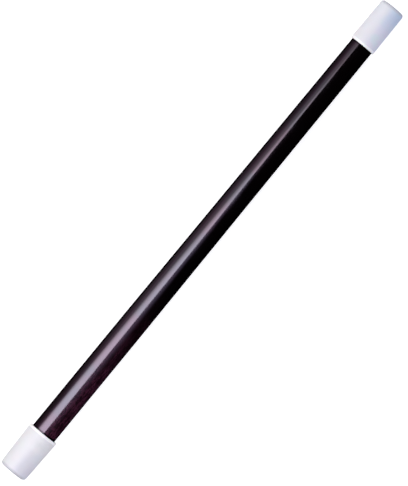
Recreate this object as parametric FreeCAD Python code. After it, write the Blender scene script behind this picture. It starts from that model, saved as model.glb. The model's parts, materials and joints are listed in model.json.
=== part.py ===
"""Magic wand: a black lacquered wooden stick with a white moulded cap on each end.

The stick lies along X. Its thick handle end is at -X, its thin tip is at +X, and the origin is on
its centre line, in the middle of the parallel length that the hand holds. Each cap is a cup pushed
over one end of the shaft. A countersunk screw through the cap's end wall goes into a brass insert
in the end grain, and a flush plug hides the screw's head.
"""

import FreeCAD, Part
import os
from collections import namedtuple
from math import pi, radians, tan

# Driving dimensions, in millimetres and degrees.
OVERALL_LENGTH = 356.0
CAP_LENGTH = 29.3
GRIP_LENGTH = 76.0
GRIP_DIAMETER = 16.2
TIP_DIAMETER = 14.5
HANDLE_CAP_MOUTH_DIAMETER = 19.6
TIP_CAP_MOUTH_DIAMETER = 16.5
CAP_END_WALL = 4.2
PLUG_DIAMETER = 9.0
PLUG_THICKNESS = 1.0
SCREW_DIAMETER = 4.0  # M4 countersunk, 16 mm long with its head
SCREW_LENGTH = 16.0
SCREW_HEAD_DIAMETER = 7.5
INSERT_LENGTH = 10.0
INSERT_DIAMETER = 8.0

# The moulds' draft and edge radii.
HANDLE_CAP_DRAFT = 1.5
TIP_CAP_DRAFT = 0.5
HANDLE_CAP_RIM_RADIUS = 2.4
TIP_CAP_RIM_RADIUS = 1.8
LIP_RADIUS = 0.35
PLUG_EDGE_CHAMFER = 0.15

# The screw's head, its cross recess and its hole through the cap.
HEAD_EDGE = 0.4
TIP_CHAMFER = 0.5
RECESS_SPAN = 4.4
RECESS_WIDTH = 0.9
RECESS_DEPTH = 1.5
SCREW_CLEARANCE = 0.5

# The shaft's ends and the insert pressed into each.
SHAFT_END_CHAMFER = 0.6
BARB_HEIGHT = 0.6
BARB_COUNT = 4
DRILLED_BEYOND_INSERT = 6.0
DRILL_POINT_ANGLE = 118.0

# Along the stick, from the handle cap's end face to the tip cap's.
HANDLE_END_X = -GRIP_LENGTH / 2 - CAP_LENGTH
TIP_END_X = HANDLE_END_X + OVERALL_LENGTH

ALONG = FreeCAD.Vector(1, 0, 0)
UP = FreeCAD.Vector(0, 0, 1)
FULL_TURN = 360

# One end of the stick. Its pieces are made with the cap's end face at x = 0 and the stick towards +X.
End = namedtuple("End", "name face_x turned shaft_diameter mouth_diameter draft rim_radius")

HANDLE = End(
    name="handle",
    face_x=HANDLE_END_X,
    turned=False,
    shaft_diameter=GRIP_DIAMETER,
    mouth_diameter=HANDLE_CAP_MOUTH_DIAMETER,
    draft=HANDLE_CAP_DRAFT,
    rim_radius=HANDLE_CAP_RIM_RADIUS,
)
TIP = End(
    name="tip",
    face_x=TIP_END_X,
    turned=True,
    shaft_diameter=TIP_DIAMETER,
    mouth_diameter=TIP_CAP_MOUTH_DIAMETER,
    draft=TIP_CAP_DRAFT,
    rim_radius=TIP_CAP_RIM_RADIUS,
)


def on_axis(x):
    """The point at x on the stick's centre line."""
    return FreeCAD.Vector(x, 0, 0)


def rod(radius, x, length):
    """A cylinder along the centre line, from x."""
    return Part.makeCylinder(radius, length, on_axis(x), ALONG)


def turned(outline):
    """A solid of revolution about the centre line, from (x, radius) corners that start and end on it."""
    corners = [FreeCAD.Vector(x, 0, radius) for x, radius in outline]
    face = Part.Face(Part.makePolygon(corners + corners[:1]))
    return face.revolve(on_axis(0), ALONG, FULL_TURN)


def round_edge(solid, x, diameter, radius):
    """The solid with its circular edge of this diameter at x rounded."""
    edges = [
        edge
        for edge in solid.Edges
        if abs(edge.CenterOfMass.x - x) < 0.01 and abs(edge.Length - pi * diameter) < 0.01
    ]
    return solid.makeFillet(radius, edges)


def place(shape, end):
    """Move a piece made at x = 0 to its end of the stick."""
    placed = shape.copy()
    if end.turned:
        placed.rotate(on_axis(0), UP, FULL_TURN / 2)
    placed.translate(on_axis(end.face_x))
    return placed


def make_cap(end):
    """A drafted cup with a rounded rim and lip, a blind bore for the shaft and a hole for the screw."""
    end_diameter = end.mouth_diameter - 2 * CAP_LENGTH * tan(radians(end.draft))
    cap = Part.makeCone(end_diameter / 2, end.mouth_diameter / 2, CAP_LENGTH, on_axis(0), ALONG)
    cap = round_edge(cap, 0, end_diameter, end.rim_radius)
    cap = round_edge(cap, CAP_LENGTH, end.mouth_diameter, LIP_RADIUS)
    cap = cap.cut(rod(end.shaft_diameter / 2, CAP_END_WALL, CAP_LENGTH))
    cap = cap.cut(rod(PLUG_DIAMETER / 2, -1, 1 + PLUG_THICKNESS))
    return cap.cut(screw_hole())


def screw_hole():
    """The clearance hole and its 90 degree countersink, which the screw's head lies on."""
    hole_radius = (SCREW_DIAMETER + SCREW_CLEARANCE) / 2
    rim_radius = SCREW_HEAD_DIAMETER / 2 + HEAD_EDGE
    sunk = rim_radius - hole_radius
    countersink = Part.makeCone(rim_radius, hole_radius, sunk, on_axis(PLUG_THICKNESS), ALONG)
    return rod(hole_radius, 0, CAP_LENGTH).fuse(countersink)


def make_plug():
    """The disc that hides the screw's head, flush with the cap's end face."""
    radius = PLUG_DIAMETER / 2
    outline = [
        (0, 0),
        (0, radius - PLUG_EDGE_CHAMFER),
        (PLUG_EDGE_CHAMFER, radius),
        (PLUG_THICKNESS, radius),
        (PLUG_THICKNESS, 0),
    ]
    return turned(outline)


def make_screw():
    """A countersunk cross-head screw. Its thread is a plain cylinder at the nominal diameter."""
    top = PLUG_THICKNESS
    bottom = top + SCREW_LENGTH
    head = SCREW_HEAD_DIAMETER / 2
    shank = SCREW_DIAMETER / 2
    outline = [
        (top, 0),
        (top, head),
        (top + HEAD_EDGE, head),
        (top + HEAD_EDGE + head - shank, shank),
        (bottom - TIP_CHAMFER, shank),
        (bottom, shank - TIP_CHAMFER),
        (bottom, 0),
    ]
    screw = turned(outline)
    slot = Part.makeBox(
        RECESS_DEPTH,
        RECESS_SPAN,
        RECESS_WIDTH,
        FreeCAD.Vector(top, -RECESS_SPAN / 2, -RECESS_WIDTH / 2),
    )
    crossed = slot.copy()
    crossed.rotate(on_axis(0), ALONG, FULL_TURN / 4)
    return screw.cut(slot.fuse(crossed))


def insert_body():
    """The insert's outside: barbs that slope in towards the middle of the stick and hold against a pull."""
    crest = INSERT_DIAMETER / 2
    root = crest - BARB_HEIGHT
    pitch = INSERT_LENGTH / BARB_COUNT
    outline = [(CAP_END_WALL, 0)]
    for barb in range(BARB_COUNT):
        start = CAP_END_WALL + barb * pitch
        outline += [(start, crest), (start + pitch, root)]
    outline.append((CAP_END_WALL + INSERT_LENGTH, 0))
    return turned(outline)


def make_insert():
    """A barbed brass insert, tapped for the screw, with its thread as a plain hole."""
    return insert_body().cut(rod(SCREW_DIAMETER / 2, 0, CAP_LENGTH))


def insert_hole():
    """The hole in the shaft's end grain: the insert's barbed seat, then the drill's own pointed end."""
    radius = INSERT_DIAMETER / 2 - BARB_HEIGHT
    bottom = CAP_END_WALL + INSERT_LENGTH + DRILLED_BEYOND_INSERT
    point = radius / tan(radians(DRILL_POINT_ANGLE / 2))
    drilled = turned([(CAP_END_WALL, 0), (CAP_END_WALL, radius), (bottom, radius), (bottom + point, 0)])
    return insert_body().fuse(drilled)


def make_shaft():
    """The turned stick: parallel in the handle cap and along the grip, then an even taper to the tip."""
    handle_radius = GRIP_DIAMETER / 2
    tip_radius = TIP_DIAMETER / 2
    handle_face = HANDLE_END_X + CAP_END_WALL
    tip_face = TIP_END_X - CAP_END_WALL
    outline = [
        (handle_face, 0),
        (handle_face, handle_radius - SHAFT_END_CHAMFER),
        (handle_face + SHAFT_END_CHAMFER, handle_radius),
        (GRIP_LENGTH / 2, handle_radius),
        (TIP_END_X - CAP_LENGTH, tip_radius),
        (tip_face - SHAFT_END_CHAMFER, tip_radius),
        (tip_face, tip_radius - SHAFT_END_CHAMFER),
        (tip_face, 0),
    ]
    shaft = turned(outline)
    for end in (HANDLE, TIP):
        shaft = shaft.cut(place(insert_hole(), end))
    return shaft


def make_parts():
    """Every piece by its name."""
    parts = {"shaft": make_shaft()}
    for end in (HANDLE, TIP):
        parts[f"{end.name}_cap"] = place(make_cap(end), end)
        parts[f"{end.name}_plug"] = place(make_plug(), end)
        parts[f"{end.name}_screw"] = place(make_screw(), end)
        parts[f"{end.name}_insert"] = place(make_insert(), end)
    return parts


os.makedirs("parts", exist_ok=True)
for part_name, shape in make_parts().items():
    shape.exportStep(f"parts/{part_name}.step")
    box = shape.BoundBox
    print(f"{part_name}: {box.XLength:.2f} x {box.YLength:.2f} x {box.ZLength:.2f} mm")
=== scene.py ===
"""The looks of a magician's wand: a black lacquered stick with a white moulded cap on each end.

Everything is in metres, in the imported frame: the stick lies along X with its handle end at -X.
The visible pieces are fine lathe meshes that stand for the shaft, the caps and the plugs. The
screws and the brass inserts inside stay as packed and get their own materials.
"""

import json
from collections import namedtuple
from math import asin, atan2, cos, degrees, pi, radians, sin, tan

import bpy
from mathutils import Matrix, Vector


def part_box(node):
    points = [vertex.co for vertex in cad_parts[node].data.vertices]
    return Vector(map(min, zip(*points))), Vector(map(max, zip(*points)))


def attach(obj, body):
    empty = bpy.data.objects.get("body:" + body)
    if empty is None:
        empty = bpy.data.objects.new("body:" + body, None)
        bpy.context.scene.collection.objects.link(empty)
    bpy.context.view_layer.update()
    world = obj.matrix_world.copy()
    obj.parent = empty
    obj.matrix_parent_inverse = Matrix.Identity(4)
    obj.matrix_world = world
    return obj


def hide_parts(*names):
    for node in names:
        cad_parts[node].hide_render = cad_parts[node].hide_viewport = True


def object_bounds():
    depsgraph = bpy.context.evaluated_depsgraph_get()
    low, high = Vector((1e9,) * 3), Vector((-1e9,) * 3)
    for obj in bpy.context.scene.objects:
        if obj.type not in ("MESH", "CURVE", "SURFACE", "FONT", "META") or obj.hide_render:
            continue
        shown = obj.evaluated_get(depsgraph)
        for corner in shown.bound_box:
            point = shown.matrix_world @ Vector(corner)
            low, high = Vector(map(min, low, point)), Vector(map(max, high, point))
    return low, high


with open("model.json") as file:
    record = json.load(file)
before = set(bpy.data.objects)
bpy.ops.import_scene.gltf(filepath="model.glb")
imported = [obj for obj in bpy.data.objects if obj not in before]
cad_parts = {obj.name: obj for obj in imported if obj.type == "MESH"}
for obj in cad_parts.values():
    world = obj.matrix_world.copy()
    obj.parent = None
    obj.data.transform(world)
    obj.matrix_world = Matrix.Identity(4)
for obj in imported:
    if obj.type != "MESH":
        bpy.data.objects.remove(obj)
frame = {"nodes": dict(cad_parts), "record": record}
cad_low, cad_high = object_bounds()

MM = 0.001

# How finely the turned pieces are divided, and the angle at which two faces meet in a sharp edge.
AROUND = 160
ALONG_STEP = 2 * MM
ARC_STEPS = 8
SHARP_ANGLE = radians(35)

# Edges that the moulds and the lathe leave.
HANDLE_RIM_RADIUS = 2.4 * MM
TIP_RIM_RADIUS = 1.8 * MM
LIP_RADIUS = 0.35 * MM
MOUTH_CHAMFER = 0.2 * MM
RECESS_EDGE = 0.12 * MM
PLUG_EDGE = 0.15 * MM
PLUG_GAP = 0.02 * MM
GATE_RADIUS = 1.3 * MM
GATE_DEPTH = 0.15 * MM
SHAFT_END_CHAMFER = 0.6 * MM
TAPER_BLEND = 14 * MM

# The moulds' draft, in degrees a side.
HANDLE_DRAFT = 1.5
TIP_DRAFT = 0.5

# The screw's hole through a cap, next to the screw's head.
HOLE_SHARE_OF_HEAD = 0.6
COUNTERSINK_MARGIN = 0.4 * MM

# Where wear, finish and painted light change, each from full to little or none: along the stick from a cap's
# mouth or rim, along X, or across Y. The plum on the lacquer is rubbed wear near the grip and a painted
# reflection on the -Y side.
# The whiter lip is a painted highlight; the dark ring by each mouth, the darker rim and the caps' greyer -Y
# side are painted shade.
PAINTED_HIGHLIGHT_LIP = (1.4 * MM, 1.8 * MM)
PAINTED_SHADE_RING = (0.8 * MM, 1.4 * MM)
WEAR_AND_REFLECTION_ALONG = (-30 * MM, 80 * MM)
PAINTED_REFLECTION_SIDE = (-3 * MM, 3 * MM)
PAINTED_SHADE_RIM = (1.0 * MM, 2.4 * MM)
PAINTED_SHADE_SIDE = (-2.5 * MM, 2.5 * MM)
# A cap's painted shade grows from the first share of its length to the second, as measured from its mouth.
PAINTED_SHADE_ALONG = (0.2, 0.95)

# Noise features a metre along X, Y and Z, and the depth of the fine texture.
GRAIN = (40, 800, 800)
SPECK = (450, 900, 900)
BLOTCH = (130, 300, 300)
CLOUD = (60, 140, 140)
HAZE = (70, 50, 50)
MOTTLE = (150, 150, 150)
PATCHES = (70, 90, 90)
SATIN = (900, 900, 900)
MOULD_TEXTURE = (2500, 2500, 2500)
LATHE_RINGS = (9000, 120, 120)
TEXTURE_DEPTH = 0.004 * MM
RING_DEPTH = 0.01 * MM

# Colours of the finishes, with the white of the lip's painted highlight and the grey of the rim's painted
# shade.
BLACK = (0.0010, 0.0004, 0.0007)
PLUM = (0.045, 0.0092, 0.0235)
COOL_HAZE = (0.89, 0.98, 1.0)
WARM_HAZE = (1.0, 0.93, 0.98)
HIGHLIGHT_WHITE = (1.0, 1.0, 1.0)
RIM_SHADE_GREY = (0.60, 0.60, 0.64)
ZINC = (0.56, 0.57, 0.60)
BRASS = (0.72, 0.52, 0.24)

# A cap's white where it is clean, the two whites of its mottle, and the greyer white of the painted shade on
# its -Y side.
White = namedtuple("White", "clean cool warm greyed")
HANDLE_WHITE = White(
    clean=(0.82, 0.815, 0.832),
    cool=(0.785, 0.785, 0.805),
    warm=(0.84, 0.83, 0.85),
    greyed=(0.725, 0.715, 0.80),
)
# The tip's whites are bluer and darker than the handle's on the same plastic: painted blue shade.
TIP_WHITE = White(
    clean=(0.81, 0.795, 0.84),
    cool=(0.745, 0.80, 0.85),
    warm=(0.81, 0.775, 0.865),
    greyed=(0.57, 0.685, 0.82),
)

# The camera hangs over the stick with a long lens, turned so that the stick climbs to the right.
STICK_LENGTH = cad_high.x - cad_low.x
STICK_MIDDLE = (cad_low.x + cad_high.x) / 2
CLIMB = radians(50.6)
CAMERA_HEIGHT = 3.3
STICK_SHARE_OF_FRAME_HEIGHT = 1.2358
AIM_ALONG = -0.0030 * STICK_LENGTH
AIM_ACROSS = -0.0051 * STICK_LENGTH
SENSOR_HEIGHT = 36
VIEW_DEPTH = 100

IMAGE_RIGHT = Vector((cos(CLIMB), -sin(CLIMB), 0))
IMAGE_UP = Vector((sin(CLIMB), cos(CLIMB), 0))

# The floor, and the pale light from all round: its strength across the stick and along it.
FLOOR_HALF_SIZE = 40
FLOOR_GREY = (0.6, 0.6, 0.6, 1)
FLOOR_ROUGHNESS = 0.9
FLOOR_GLOW = 0.72
SURROUND_COLOUR = (0.97, 0.97, 1.0, 1)
SURROUND_STRENGTH = (0.8, 0.15)

# Soft lights on the caps. Places are metres right of and up from the stick's middle in the image, and
# metres above it. Sizes are metres and powers are watts.
Lamp = namedtuple("Lamp", "name right up height size power colour")
KEY = Lamp("soft_key", right=-0.43, up=0.354, height=0.50, size=0.7, power=2.8, colour=(1, 1, 1))
FILL = Lamp("fill", right=-0.064, up=-0.465, height=0.315, size=0.3, power=0.42, colour=(0.86, 0.86, 1))
BLUE_FILL = Lamp("blue_fill", right=0.55, up=0.05, height=0.15, size=0.3, power=0.26, colour=(0.15, 0.2, 1))

# What the lacquer mirrors: a softbox with its spill and the dim wall past it, and a card that stands on
# the same side. Corners are metres right of and up from the stick's middle in the image, and the
# card's are along X and up.
SOFTBOX_HEIGHT = 0.5
SOFTBOX_CORNERS = [(-0.27, -0.8), (-0.06, 0.045), (-0.26, 0.8), (-0.9, 0.8), (-0.9, -0.8)]
SOFTBOX_SLANT = 0.14
SPILL_CORNERS = [(0.35, -0.45), (0.35, 0.1), (-0.075, 0.1), (-0.06, 0.045), (-0.183, -0.45)]
WALL_HEIGHT = 0.52
WALL_CORNERS = [(-0.2, 0.3), (-0.2, 3.0), (-3.0, 3.0), (-3.0, -1.2), (-0.7, -1.2), (-0.7, 0.3)]
CARD_DISTANCE = 1.5
CARD_CORNERS = [(-2, -1), (2, -1), (2, 0.5), (-2, 0.5)]

# Past the stick's ends, where a camera straight above it can't see them mirrored: overhead strips, and
# boards that stand across.
STRIP_REACH = (0.5, 3.0)
STRIP_HEIGHT = 1
STRIP_HALF_WIDTH = 0.16
BOARD_DISTANCE = 3.2
BOARD_HALF_WIDTH = 6
BOARD_REACH = (-0.3, 2.2)

# Colours of what the lacquer mirrors.
SOFTBOX_LOW = (0.94, 0.81, 1.0)
SOFTBOX_HIGH = (1.0, 0.81, 0.97)
WALL_PLUM = (0.97, 0.60, 0.97)
CARD_ROSE = (1.0, 0.64, 0.9)
SPILL_VIOLET = (0.85, 0.60, 1.0)
STRIP_LILAC = (0.95, 0.88, 1.0)
BOARD_PINK = (1.0, 0.75, 0.97)


# --- turned shapes ---------------------------------------------------------------------------------


def arc(centre, radius, start, end):
    """Points (x, radius from the axis) on an arc, from one angle to the other, in degrees."""
    points = []
    for step in range(ARC_STEPS + 1):
        angle = radians(start + (end - start) * step / ARC_STEPS)
        points.append((centre[0] + radius * cos(angle), centre[1] + radius * sin(angle)))
    return points


def stretch(start, end):
    """Points along a straight line from start to just before end."""
    count = max(1, round(abs(end[0] - start[0]) / ALONG_STEP))
    return [
        (start[0] + (end[0] - start[0]) * i / count, start[1] + (end[1] - start[1]) * i / count)
        for i in range(count)
    ]


def lathe(name, outline, closed=False):
    """A mesh turned about X from (x, radius) points. An open outline starts and ends on the axis."""
    vertices = []
    rings = []
    for x, radius in outline:
        if radius < 1e-9:
            rings.append([len(vertices)] * AROUND)
            vertices.append((x, 0, 0))
            continue
        rings.append(list(range(len(vertices), len(vertices) + AROUND)))
        for i in range(AROUND):
            angle = 2 * pi * i / AROUND
            vertices.append((x, radius * cos(angle), radius * sin(angle)))
    faces = []
    followers = rings[1:] + rings[:1] if closed else rings[1:]
    for ring, follower in zip(rings, followers):
        for i in range(AROUND):
            j = (i + 1) % AROUND
            corners = [ring[i], ring[j], follower[j], follower[i]]
            faces.append(list(dict.fromkeys(corners)))
    mesh = bpy.data.meshes.new(name)
    mesh.from_pydata(vertices, [], faces)
    mesh.validate()
    if signed_volume(mesh) < 0:
        mesh.flip_normals()
    for polygon in mesh.polygons:
        polygon.use_smooth = True
    mesh.set_sharp_from_angle(angle=SHARP_ANGLE)
    return add_object(name, mesh)


def signed_volume(mesh):
    """Six times the mesh's volume, negative when its faces look inwards."""
    total = 0
    for polygon in mesh.polygons:
        first, *rest = [mesh.vertices[i].co for i in polygon.vertices]
        for second, third in zip(rest, rest[1:]):
            total += first.dot(second.cross(third))
    return total


def add_object(name, data):
    """A new object in the scene that holds this mesh, light or camera."""
    thing = bpy.data.objects.new(name, data)
    bpy.context.scene.collection.objects.link(thing)
    return thing


def widest(node, x):
    """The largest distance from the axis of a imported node's vertices at this x."""
    found = [
        (v.co.y**2 + v.co.z**2) ** 0.5
        for v in frame["nodes"][node].data.vertices
        if abs(v.co.x - x) < 0.05 * MM
    ]
    return max(found)


class End:
    """One end of the stick, read from the frame. Its pieces are laid out by their depth from its face."""

    def __init__(self, name, draft, rim_radius, white):
        self.name = name
        self.draft = radians(draft)
        self.rim_radius = rim_radius
        self.white = white
        cap_low, cap_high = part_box(f"{name}_cap")
        plug_low, plug_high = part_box(f"{name}_plug")
        screw_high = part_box(f"{name}_screw")[1]
        insert_low, insert_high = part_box(f"{name}_insert")
        self.inward = 1 if name == "handle" else -1
        self.face_x = cap_low.x if self.inward > 0 else cap_high.x
        self.length = cap_high.x - cap_low.x
        self.mouth_x = self.face_x + self.inward * self.length
        self.mouth_radius = cap_high.z
        self.plug_radius = plug_high.z
        self.plug_thickness = plug_high.x - plug_low.x
        self.head_radius = screw_high.z
        seat_x = insert_low.x if self.inward > 0 else insert_high.x
        self.end_wall = abs(seat_x - self.face_x)
        self.shaft_radius = widest("shaft", seat_x + self.inward * SHAFT_END_CHAMFER)

    def place(self, depth_outline):
        """The outline with depths from the end's face turned into x."""
        return [(self.face_x + self.inward * depth, radius) for depth, radius in depth_outline]


HANDLE = End("handle", HANDLE_DRAFT, HANDLE_RIM_RADIUS, HANDLE_WHITE)
TIP = End("tip", TIP_DRAFT, TIP_RIM_RADIUS, TIP_WHITE)
ENDS = (HANDLE, TIP)


def shaft_radius_at(x):
    """The stick's radius: parallel at the grip, then an even taper that starts gently."""
    grip = next(m for m in frame["record"]["mounts"] if m["name"] == "grip")
    taper_start = grip["pos_m"][0] + grip["dims"]["length_mm"] * MM / 2
    slope = (HANDLE.shaft_radius - TIP.shaft_radius) / (TIP.mouth_x - taper_start)
    past = min(x, TIP.mouth_x) - taper_start
    if past < -TAPER_BLEND:
        return HANDLE.shaft_radius
    if past < TAPER_BLEND:
        return HANDLE.shaft_radius - slope * (past + TAPER_BLEND) ** 2 / (4 * TAPER_BLEND)
    return HANDLE.shaft_radius - slope * past


def make_shaft():
    """The lacquered stick, from inside one cap to inside the other."""
    start = HANDLE.face_x + HANDLE.end_wall
    end = TIP.face_x - TIP.end_wall
    outline = [(start, 0), (start, HANDLE.shaft_radius - SHAFT_END_CHAMFER)]
    first = start + SHAFT_END_CHAMFER
    last = end - SHAFT_END_CHAMFER
    count = round((last - first) / ALONG_STEP)
    for i in range(count + 1):
        x = first + (last - first) * i / count
        outline.append((x, shaft_radius_at(x)))
    outline += [(end, TIP.shaft_radius - SHAFT_END_CHAMFER), (end, 0)]
    return lathe("lacquered_shaft", outline)


def make_cap(end):
    """A moulded cup: rounded rim, drafted wall, small rounded lip, bore, screw hole and plug recess."""
    slope = tan(end.draft)
    face_radius = end.mouth_radius - slope * end.length
    rim = end.rim_radius
    rim_centre = (rim, face_radius + slope * rim - rim / cos(end.draft))
    lip_depth = end.length - LIP_RADIUS
    lip_centre = (lip_depth, face_radius + slope * lip_depth - LIP_RADIUS / cos(end.draft))
    upright = 90 + degrees(end.draft)
    rim_arc = arc(rim_centre, rim, 180, upright)
    lip_arc = arc(lip_centre, LIP_RADIUS, upright, 0)
    bore = end.shaft_radius
    hole = end.head_radius * HOLE_SHARE_OF_HEAD
    sunk_rim = end.head_radius + COUNTERSINK_MARGIN
    outline = [(RECESS_EDGE, end.plug_radius), (0, end.plug_radius + RECESS_EDGE)]
    outline += rim_arc
    outline += stretch(rim_arc[-1], lip_arc[0])[1:]
    outline += lip_arc
    outline += [(end.length, bore + MOUTH_CHAMFER), (end.length - MOUTH_CHAMFER, bore)]
    outline += stretch((end.length - MOUTH_CHAMFER, bore), (end.end_wall, bore))[1:]
    outline += [(end.end_wall, bore), (end.end_wall, hole)]
    outline += [(end.plug_thickness + sunk_rim - hole, hole), (end.plug_thickness, sunk_rim)]
    outline.append((end.plug_thickness, end.plug_radius))
    return lathe(f"{end.name}_moulded_cap", end.place(outline), closed=True)


def make_plug(end):
    """The disc over the screw: a fine chamfer at its edge and the small dished mark of the mould's gate."""
    radius = end.plug_radius - PLUG_GAP
    sphere = (GATE_RADIUS**2 + GATE_DEPTH**2) / (2 * GATE_DEPTH)
    widest_angle = degrees(asin(GATE_RADIUS / sphere))
    dish = arc((GATE_DEPTH - sphere, 0), sphere, 0, widest_angle)
    outline = [(depth, abs(height)) for depth, height in dish]
    outline += [(0, radius - PLUG_EDGE), (PLUG_EDGE, radius)]
    outline += [(end.plug_thickness, radius), (end.plug_thickness, 0)]
    return lathe(f"{end.name}_cover_plug", end.place(outline))


# --- materials -------------------------------------------------------------------------------------


class Shader:
    """A node-based material under construction, with short calls for the nodes that it uses."""

    def __init__(self, name):
        self.material = bpy.data.materials.new(name)
        self.material.use_nodes = True
        self.nodes = self.material.node_tree.nodes
        self.links = self.material.node_tree.links
        self.surface = self.nodes["Principled BSDF"]
        self.place = self.nodes.new("ShaderNodeTexCoord").outputs["Object"]

    def set(self, **values):
        """Plain values on the shader's own sockets, by their names in lower case."""
        by_name = {socket.name.lower().replace(" ", "_"): socket for socket in self.surface.inputs}
        for name, value in values.items():
            by_name[name].default_value = value

    def join(self, output, name):
        """Link an output to one of the shader's sockets."""
        self.links.new(output, self.surface.inputs[name])

    def noise(self, scale, detail=3.0, roughness=0.5, distortion=0.0):
        """Noise from 0 to 1 with so many features a metre along each axis."""
        mapping = self.nodes.new("ShaderNodeMapping")
        mapping.inputs["Scale"].default_value = scale
        self.links.new(self.place, mapping.inputs["Vector"])
        texture = self.nodes.new("ShaderNodeTexNoise")
        texture.inputs["Scale"].default_value = 1.0
        texture.inputs["Detail"].default_value = detail
        texture.inputs["Roughness"].default_value = roughness
        texture.inputs["Distortion"].default_value = distortion
        self.links.new(mapping.outputs["Vector"], texture.inputs["Vector"])
        return texture.outputs["Fac"]

    def axis(self, name):
        """The piece's own X, Y or Z."""
        split = self.nodes.new("ShaderNodeSeparateXYZ")
        self.links.new(self.place, split.inputs["Vector"])
        return split.outputs[name]

    def along(self, direction):
        """How far a place lies along a level direction from the stick's middle."""
        dot = self.nodes.new("ShaderNodeVectorMath")
        dot.operation = "DOT_PRODUCT"
        dot.inputs[1].default_value = direction
        self.links.new(self.place, dot.inputs[0])
        return self.math("SUBTRACT", dot.outputs["Value"], direction.x * STICK_MIDDLE)

    def ramp(self, value, low, high, to_low=0.0, to_high=1.0):
        """The value from low to high, as a smooth step from to_low to to_high."""
        mapped = self.nodes.new("ShaderNodeMapRange")
        mapped.interpolation_type = "SMOOTHSTEP"
        for name, number in (("From Min", low), ("From Max", high), ("To Min", to_low), ("To Max", to_high)):
            mapped.inputs[name].default_value = number
        self.links.new(value, mapped.inputs["Value"])
        return mapped.outputs["Result"]

    def math(self, operation, first, second=None, third=None):
        """One sum, product or other operation on outputs or plain numbers."""
        node = self.nodes.new("ShaderNodeMath")
        node.operation = operation
        for socket, value in zip(node.inputs, (first, second, third)):
            if isinstance(value, bpy.types.NodeSocket):
                self.links.new(value, socket)
            elif value is not None:
                socket.default_value = value
        return node.outputs["Value"]

    def product(self, first, *others):
        """All the outputs multiplied together."""
        total = first
        for other in others:
            total = self.math("MULTIPLY", total, other)
        return total

    def blend(self, amount, first, second):
        """A colour between two, by amount."""
        mix = self.nodes.new("ShaderNodeMix")
        mix.data_type = "RGBA"
        self.links.new(amount, mix.inputs["Factor"])
        for name, colour in (("A", first), ("B", second)):
            socket = next(s for s in mix.inputs if s.name == name and s.type == "RGBA")
            if isinstance(colour, bpy.types.NodeSocket):
                self.links.new(colour, socket)
            else:
                socket.default_value = (*colour, 1)
        return next(s for s in mix.outputs if s.type == "RGBA")

    def bump(self, height, depth):
        """A normal from a height of 0 to 1 that stands for this depth in metres."""
        node = self.nodes.new("ShaderNodeBump")
        node.inputs["Strength"].default_value = 1.0
        node.inputs["Distance"].default_value = depth
        self.links.new(height, node.inputs["Height"])
        return node.outputs["Normal"]

    def glowing(self, colour, strength):
        """The material as plain light, with a fixed or a varying colour, as strong as the output says."""
        self.nodes.remove(self.surface)
        emission = self.nodes.new("ShaderNodeEmission")
        if isinstance(colour, bpy.types.NodeSocket):
            self.links.new(colour, emission.inputs["Color"])
        else:
            emission.inputs["Color"].default_value = (*colour, 1)
        self.links.new(strength, emission.inputs["Strength"])
        self.links.new(emission.outputs["Emission"], self.nodes["Material Output"].inputs["Surface"])
        return self.material


def from_mouth(shader, end):
    """How far along the stick a place is from an end's cap mouth."""
    return shader.math("ABSOLUTE", shader.math("SUBTRACT", shader.axis("X"), end.mouth_x))


def black_lacquer():
    """Black gloss over turned hardwood. Plum shows along the grain near the grip as rubbed wear and, kept to
    the -Y side, as a painted reflection; a ring by each cap's mouth is painted shade.
    """
    shader = Shader("black_lacquer")
    grain = shader.noise(GRAIN, detail=4, roughness=0.6, distortion=0.3)
    speck = shader.ramp(shader.noise(SPECK, detail=1), 0.4, 0.6)
    fibre = shader.ramp(grain, 0.38, 0.62, to_low=0.15, to_high=0.6)
    streak = shader.math("MULTIPLY_ADD", speck, 0.45, fibre)
    # Plum near the grip: partly rubbed wear, partly the fade of a painted reflection.
    along = shader.ramp(shader.axis("X"), *WEAR_AND_REFLECTION_ALONG, to_low=1, to_high=0)
    # Plum kept to the -Y side: a painted reflection.
    side = shader.ramp(shader.axis("Y"), *PAINTED_REFLECTION_SIDE, to_low=1, to_high=0.12)
    blotch = shader.ramp(shader.noise(BLOTCH, detail=2), 0.35, 0.65, to_low=0.55, to_high=1.35)
    # Painted shade by each cap's mouth: the plum is taken out and the gloss lowered in a ring there.
    past_shade_rings = shader.product(*[shader.ramp(from_mouth(shader, end), *PAINTED_SHADE_RING) for end in ENDS])
    plum = shader.product(streak, along, side, blotch, past_shade_rings)
    shader.join(shader.blend(plum, BLACK, PLUM), "Base Color")
    handled = shader.ramp(shader.axis("X"), HANDLE.mouth_x, TIP.mouth_x, to_low=0.155, to_high=0.115)
    cloud = shader.ramp(shader.noise(CLOUD, detail=2), 0.3, 0.7, to_low=-0.025, to_high=0.025)
    shader.join(shader.math("ADD", handled, cloud), "Roughness")
    shader.join(shader.ramp(past_shade_rings, 0, 1, to_low=0.25, to_high=0.5), "Specular IOR Level")
    haze = shader.ramp(shader.noise(HAZE, detail=1), 0.35, 0.65)
    shader.join(shader.blend(haze, COOL_HAZE, WARM_HAZE), "Specular Tint")
    shader.join(shader.bump(grain, TEXTURE_DEPTH), "Normal")
    shader.set(ior=1.5)
    return shader.material


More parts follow.
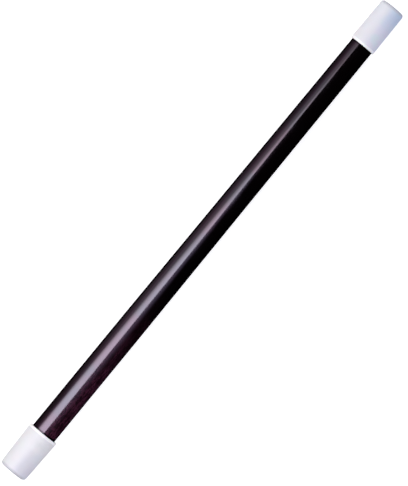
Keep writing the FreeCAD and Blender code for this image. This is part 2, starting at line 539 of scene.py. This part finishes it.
def moulded_white(end):
    """White moulded plastic with a mottled -Y side, a whiter lip that is a painted highlight, and a darker
    rim and greyer -Y side that are painted shade.
    """
    shader = Shader(f"moulded_white_{end.name}")
    mottle = shader.ramp(shader.noise(MOTTLE, detail=3), 0.35, 0.65)
    side = shader.ramp(shader.axis("Y"), *PAINTED_SHADE_SIDE, to_low=1, to_high=0.15)
    body = shader.blend(side, end.white.clean, shader.blend(mottle, end.white.cool, end.white.warm))
    along = shader.ramp(from_mouth(shader, end), *[share * end.length for share in PAINTED_SHADE_ALONG])
    patches = shader.ramp(shader.noise(PATCHES, detail=2), 0.3, 0.7, to_low=0.7, to_high=1)
    # Painted shade: the -Y side greyer, more so towards the end face.
    body = shader.blend(shader.product(along, side, patches), body, end.white.greyed)
    from_rim = shader.math("SUBTRACT", end.length, from_mouth(shader, end))
    # A darker band by the end rim: painted shade.
    body = shader.blend(shader.ramp(from_rim, *PAINTED_SHADE_RIM, to_low=0.55, to_high=0), body, RIM_SHADE_GREY)
    # A whiter band by the mouth: a painted highlight.
    lip_highlight = shader.ramp(from_mouth(shader, end), *PAINTED_HIGHLIGHT_LIP, to_low=1, to_high=0)
    shader.join(shader.blend(lip_highlight, body, HIGHLIGHT_WHITE), "Base Color")
    shader.join(shader.ramp(shader.noise(SATIN), 0.3, 0.7, to_low=0.42, to_high=0.5), "Roughness")
    shader.join(shader.bump(shader.noise(MOULD_TEXTURE, detail=1), TEXTURE_DEPTH), "Normal")
    shader.set(ior=1.46, specular_ior_level=0.1, subsurface_weight=0.1, subsurface_scale=1.5 * MM)
    return shader.material


def turned_metal(name, colour, roughness):
    """Machined metal with fine rings round the axis."""
    shader = Shader(name)
    rings = shader.noise(LATHE_RINGS, detail=2)
    dark = tuple(0.8 * c for c in colour)
    shader.join(shader.blend(rings, dark, colour), "Base Color")
    shader.join(shader.ramp(rings, 0.3, 0.7, to_low=roughness, to_high=roughness + 0.12), "Roughness")
    shader.join(shader.bump(rings, RING_DEPTH), "Normal")
    shader.set(metallic=1.0)
    return shader.material


def wear(piece, material):
    """Give a piece its one material."""
    piece.data.materials.clear()
    piece.data.materials.append(material)


# --- pieces ----------------------------------------------------------------------------------------


def build_stick():
    """Every visible piece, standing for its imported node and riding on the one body."""
    lacquer = black_lacquer()
    whites = {end.name: moulded_white(end) for end in ENDS}
    steel = turned_metal("zinc_plated_steel", ZINC, 0.28)
    brass = turned_metal("turned_brass", BRASS, 0.24)
    made = [(make_shaft(), "shaft", "lacquered_wood", lacquer)]
    for end in ENDS:
        made.append((make_cap(end), f"{end.name}_cap", "cap_plastic", whites[end.name]))
        made.append((make_plug(end), f"{end.name}_plug", "plug_plastic", whites[end.name]))
        wear(frame["nodes"][f"{end.name}_screw"], steel)
        wear(frame["nodes"][f"{end.name}_insert"], brass)
    for piece, node, slot, material in made:
        wear(piece, material)
        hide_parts(node)
        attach(piece, "root")


# --- studio ----------------------------------------------------------------------------------------


def over_image(right, up, height):
    """A place given by how far right and up of the stick's middle it is as the camera sees it."""
    return Vector((STICK_MIDDLE, 0, 0)) + IMAGE_RIGHT * right + IMAGE_UP * up + Vector((0, 0, height))


def add_floor():
    """A pale tabletop that both caps rest on."""
    size = FLOOR_HALF_SIZE
    mesh = bpy.data.meshes.new("floor")
    corners = [(-size, -size, 0), (size, -size, 0), (size, size, 0), (-size, size, 0)]
    mesh.from_pydata(corners, [], [(0, 1, 2, 3)])
    floor = add_object("floor", mesh)
    tilt = atan2(HANDLE.mouth_radius - TIP.mouth_radius, TIP.mouth_x - HANDLE.mouth_x)
    floor.location = (HANDLE.mouth_x, 0, -HANDLE.mouth_radius)
    floor.rotation_euler = (0, -tilt, 0)
    paper = bpy.data.materials.new("floor_paper")
    paper.use_nodes = True
    surface = paper.node_tree.nodes["Principled BSDF"]
    surface.inputs["Base Color"].default_value = FLOOR_GREY
    surface.inputs["Roughness"].default_value = FLOOR_ROUGHNESS
    surface.inputs["Emission Color"].default_value = (1, 1, 1, 1)
    surface.inputs["Emission Strength"].default_value = FLOOR_GLOW
    mesh.materials.append(paper)
    floor.visible_glossy = False
    floor.visible_diffuse = False


def add_light(lamp, aim_x):
    """A square area light that faces a place on the stick. The lacquer doesn't mirror it."""
    data = bpy.data.lights.new(lamp.name, "AREA")
    data.shape = "RECTANGLE"
    data.size = lamp.size
    data.size_y = lamp.size
    data.energy = lamp.power
    data.color = lamp.colour
    light = add_object(lamp.name, data)
    light.location = over_image(lamp.right, lamp.up, lamp.height)
    towards = Vector((aim_x, 0, 0)) - light.location
    light.rotation_mode = "QUATERNION"
    light.rotation_quaternion = towards.to_track_quat("-Z", "Y")
    light.visible_glossy = False
    light.visible_camera = False


def add_lights():
    """Soft light on the white caps: a broad key up and to the left, and weak fills below and to the right."""
    add_light(KEY, STICK_MIDDLE)
    add_light(FILL, HANDLE.face_x)
    add_light(BLUE_FILL, TIP.face_x)


def add_mirrored(name, corners, glow):
    """A glowing sheet that is seen only as a reflection."""
    mesh = bpy.data.meshes.new(name)
    mesh.from_pydata(corners, [], [tuple(range(len(corners)))])
    mesh.materials.append(glow)
    sheet = add_object(name, mesh)
    sheet.visible_camera = False
    sheet.visible_diffuse = False
    sheet.visible_shadow = False


def fading(shader):
    """How far a place on the softbox or the wall lies along the direction in which their light fades."""
    return shader.along(IMAGE_UP + IMAGE_RIGHT * SOFTBOX_SLANT)


def softbox_glow():
    """A diffuser with its lamp low behind it, so that it fades upwards."""
    shader = Shader("softbox_glow")
    colour = shader.blend(shader.ramp(fading(shader), 0.0, 0.35), SOFTBOX_LOW, SOFTBOX_HIGH)
    return shader.glowing(colour, shader.ramp(fading(shader), 0.0, 0.45, to_low=11.5, to_high=1.6))


def wall_glow():
    """The dim plum wall behind the softbox."""
    shader = Shader("wall_glow")
    return shader.glowing(WALL_PLUM, shader.ramp(fading(shader), 0.3, 1.3, to_low=1.45, to_high=0.6))


def card_glow():
    """A dim card: brighter towards its top, dark below the table and past the stick's ends."""
    shader = Shader("card_glow")
    up = shader.axis("Z")
    below = shader.ramp(up, -0.95, -0.7, to_low=0, to_high=0.4)
    above = shader.ramp(up, -0.2, 0.45, to_low=0, to_high=1.0)
    along = shader.axis("X")
    start = shader.ramp(along, HANDLE.mouth_x - 0.01, HANDLE.mouth_x + 0.04, to_low=0.3, to_high=1)
    end = shader.ramp(along, TIP.mouth_x - 0.2, TIP.face_x + 0.05, to_low=1, to_high=0.5)
    return shader.glowing(CARD_ROSE, shader.product(shader.math("ADD", below, above), start, end))


def spill_glow():
    """Light that spills past the softbox's side, beside the grip's far end."""
    shader = Shader("spill_glow")
    right = shader.along(IMAGE_RIGHT)
    up = shader.along(IMAGE_UP)
    near = shader.ramp(right, -0.02, 0.16, to_low=1.4, to_high=0.3)
    reach = shader.ramp(right, 0.2, 0.34, to_low=1, to_high=0)
    lower = shader.ramp(shader.math("ADD", right, up), -0.19, -0.12, to_low=0.3, to_high=1)
    upper = shader.ramp(shader.math("MULTIPLY_ADD", right, 1.6, up), 0.0, 0.13, to_low=1, to_high=0)
    return shader.glowing(SPILL_VIOLET, shader.product(near, reach, lower, upper))


def strip_glow():
    """An overhead strip light, softer towards its long edges."""
    shader = Shader("strip_glow")
    across = shader.math("ABSOLUTE", shader.axis("Y"))
    return shader.glowing(STRIP_LILAC, shader.ramp(across, 0.06, STRIP_HALF_WIDTH, to_low=7, to_high=0.5))


def board_glow():
    """A dim board past the stick's end, darker towards the floor."""
    shader = Shader("board_glow")
    return shader.glowing(BOARD_PINK, shader.ramp(shader.axis("Z"), -0.3, 2.0, to_low=0.15, to_high=1.3))


def add_mirrored_studio():
    """What the lacquer's gloss mirrors, and nothing else sees."""
    overhead = (
        ("softbox", SOFTBOX_CORNERS, SOFTBOX_HEIGHT, softbox_glow),
        ("spill", SPILL_CORNERS, SOFTBOX_HEIGHT, spill_glow),
        ("wall", WALL_CORNERS, WALL_HEIGHT, wall_glow),
    )
    for name, corners, height, glow in overhead:
        add_mirrored(name, [over_image(right, up, height) for right, up in corners], glow())
    add_mirrored("card", [(x, CARD_DISTANCE, z) for x, z in CARD_CORNERS], card_glow())
    low, high = BOARD_REACH
    half, wide = STRIP_HALF_WIDTH, BOARD_HALF_WIDTH
    for side in (-1, 1):
        near, far = side * STRIP_REACH[0], side * STRIP_REACH[1]
        strip = [(x, y, STRIP_HEIGHT) for x, y in ((near, -half), (far, -half), (far, half), (near, half))]
        add_mirrored("strip", strip, strip_glow())
        x = side * BOARD_DISTANCE
        board = [(x, -wide, low), (x, wide, low), (x, wide, high), (x, -wide, high)]
        add_mirrored("board", board, board_glow())


def add_surround():
    """Pale light from all round, weaker past the stick's ends, which the lacquer doesn't mirror."""
    world = bpy.data.worlds.new("studio")
    bpy.context.scene.world = world
    world.use_nodes = True
    nodes = world.node_tree.nodes
    links = world.node_tree.links
    background = nodes["Background"]
    background.inputs["Color"].default_value = SURROUND_COLOUR
    split = nodes.new("ShaderNodeSeparateXYZ")
    links.new(nodes.new("ShaderNodeTexCoord").outputs["Generated"], split.inputs["Vector"])
    squared = nodes.new("ShaderNodeMath")
    squared.operation = "MULTIPLY"
    strength = nodes.new("ShaderNodeMapRange")
    strength.inputs["To Min"].default_value = SURROUND_STRENGTH[0]
    strength.inputs["To Max"].default_value = SURROUND_STRENGTH[1]
    for socket in squared.inputs[:2]:
        links.new(split.outputs["X"], socket)
    links.new(squared.outputs["Value"], strength.inputs["Value"])
    links.new(strength.outputs["Result"], background.inputs["Strength"])
    world.cycles_visibility.glossy = False


def add_camera():
    """A long lens straight over the stick, turned so that the stick climbs towards the upper right."""
    data = bpy.data.cameras.new("camera")
    data.sensor_fit = "VERTICAL"
    data.sensor_height = SENSOR_HEIGHT
    data.sensor_width = SENSOR_HEIGHT
    frame_height = STICK_LENGTH / STICK_SHARE_OF_FRAME_HEIGHT
    data.lens = data.sensor_height * CAMERA_HEIGHT / frame_height
    data.clip_end = VIEW_DEPTH
    camera = add_object("camera", data)
    camera.location = (STICK_MIDDLE + AIM_ALONG, AIM_ACROSS, CAMERA_HEIGHT)
    camera.rotation_euler = Matrix((IMAGE_RIGHT, IMAGE_UP, Vector((0, 0, 1)))).transposed().to_euler()
    bpy.context.scene.camera = camera


def add_studio():
    """The floor, the light and the camera, with colours shown as they are."""
    add_floor()
    add_lights()
    add_mirrored_studio()
    add_surround()
    add_camera()
    bpy.context.scene.view_settings.view_transform = "Standard"


build_stick()
add_studio()
